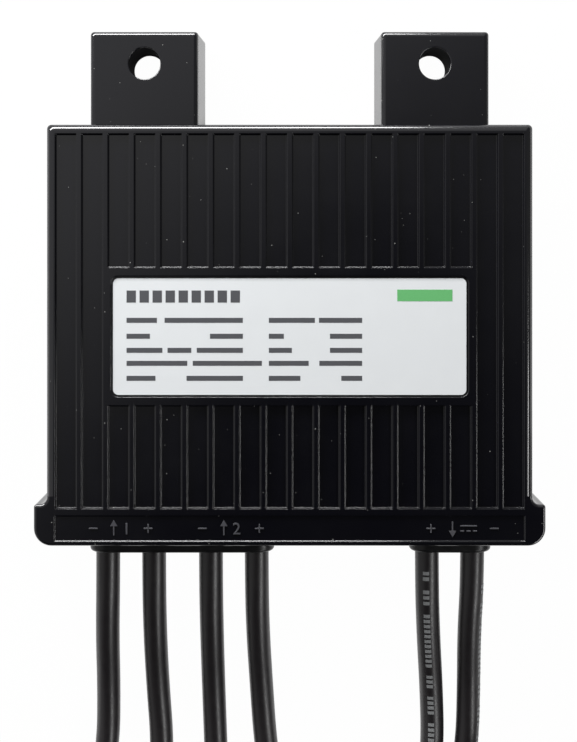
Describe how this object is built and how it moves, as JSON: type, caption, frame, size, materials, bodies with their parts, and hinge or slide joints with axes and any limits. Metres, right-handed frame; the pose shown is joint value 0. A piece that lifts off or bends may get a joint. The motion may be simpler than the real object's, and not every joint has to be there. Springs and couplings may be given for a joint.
{
  "type": "solar power optimizer",
  "caption": "Potted black plastic converter box with two bolt lugs, a ribbed front with a pale label, and input and output leads with locking connectors.",
  "frame": {"origin": "middle of the box's flat back face, halfway across its width and its height without the lugs", "axes": "+X to the right and +Y up towards the lugs as the front is read, +Z out of the front face"},
  "size_m": [0.1942, 0.3208, 0.031],
  "materials": {
    "housing_plastic": "glossy moulded",
    "label_film": "satin printed film",
    "plate_aluminium": "mill finish",
    "gasket_rubber": "matt",
    "screw_steel": "zinc plated",
    "potting_resin": "cast",
    "board_laminate": "solder mask",
    "ferrite": "sintered",
    "winding_copper": "enamelled copper",
    "capacitor_plastic": "moulded case",
    "capacitor_ceramic": "sintered",
    "chip_plastic": "moulded",
    "thermal_silicone": "soft",
    "tinned_brass": "tin plated",
    "lead_jacket": "semi-gloss extruded",
    "connector_plastic": "fine moulded grain",
    "tie_nylon": "moulded",
    "connector_rubber": "matt"
  },
  "bodies": {
    "root": {"back_plate": "plate_aluminium", "back_plate_gasket": "gasket_rubber", "back_plate_screws": "screw_steel", "board_screws": "screw_steel", "bypass_diodes": "chip_plastic", "ceramic_capacitors": "capacitor_ceramic", "circuit_board": "board_laminate", "coil_ties": "tie_nylon", "connector_cable_seals": "connector_rubber", "connector_contact_pins": "tinned_brass", "connector_contact_sockets": "tinned_brass", "control_chip": "chip_plastic", "current_shunts": "chip_plastic", "film_capacitors": "capacitor_plastic", "front_housing": "housing_plastic", "gate_driver_chips": "chip_plastic", "inductor1_lower_core": "ferrite", "inductor1_upper_core": "ferrite", "inductor1_winding": "winding_copper", "inductor2_lower_core": "ferrite", "inductor2_upper_core": "ferrite", "inductor2_winding": "winding_copper", "input1_negative_connector_nut": "connector_plastic", "input1_negative_connector_shell": "connector_plastic", "input1_negative_lead": "lead_jacket", "input1_positive_connector_nut": "connector_plastic", "input1_positive_connector_shell": "connector_plastic", "input1_positive_lead": "lead_jacket", "input2_negative_connector_nut": "connector_plastic", "input2_negative_connector_shell": "connector_plastic", "input2_negative_lead": "lead_jacket", "input2_positive_connector_nut": "connector_plastic", "input2_positive_connector_shell": "connector_plastic", "input2_positive_lead": "lead_jacket", "input_lead_seal": "gasket_rubber", "lead_conductors": "winding_copper", "lead_terminals": "tinned_brass", "output_lead_seal": "gasket_rubber", "output_negative_coil": "lead_jacket", "output_negative_connector_nut": "connector_plastic", "output_negative_connector_shell": "connector_plastic", "output_negative_lead": "lead_jacket", "output_positive_coil": "lead_jacket", "output_positive_connector_nut": "connector_plastic", "output_positive_connector_shell": "connector_plastic", "output_positive_lead": "lead_jacket", "potting_compound": "potting_resin", "power_transistors": "chip_plastic", "rating_label": "label_film", "signal_transformer": "ferrite", "supply_inductor": "ferrite", "thermal_pad1": "thermal_silicone", "thermal_pad2": "thermal_silicone"}
  },
  "joints": []
}
